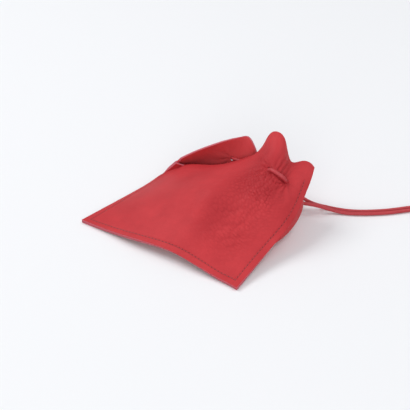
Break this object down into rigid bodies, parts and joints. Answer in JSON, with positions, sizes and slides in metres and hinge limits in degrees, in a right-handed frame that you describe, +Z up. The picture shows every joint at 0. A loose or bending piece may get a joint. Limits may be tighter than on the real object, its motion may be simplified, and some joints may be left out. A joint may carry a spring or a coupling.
{
  "type": "drawstring pouch",
  "caption": "Soft leather kinchaku pouch lying on its side, two panels sewn round three edges, gathered by a thin round drawstring with knotted ends.",
  "frame": {"origin": "on the table, under the middle of the pouch's own box, without the drawstring", "axes": "+Z up from the table, the bottom seam runs along the front towards -Y, the mouth faces back and right"},
  "size_m": [0.3093, 0.1446, 0.0705],
  "materials": {
    "red_leather": "soft satin grain",
    "red_cord": "satin"
  },
  "bodies": {
    "root": {"front_panel": "red_leather", "back_panel": "red_leather", "drawstring": "red_cord", "drawstring_knot": "red_cord"}
  },
  "joints": []
}
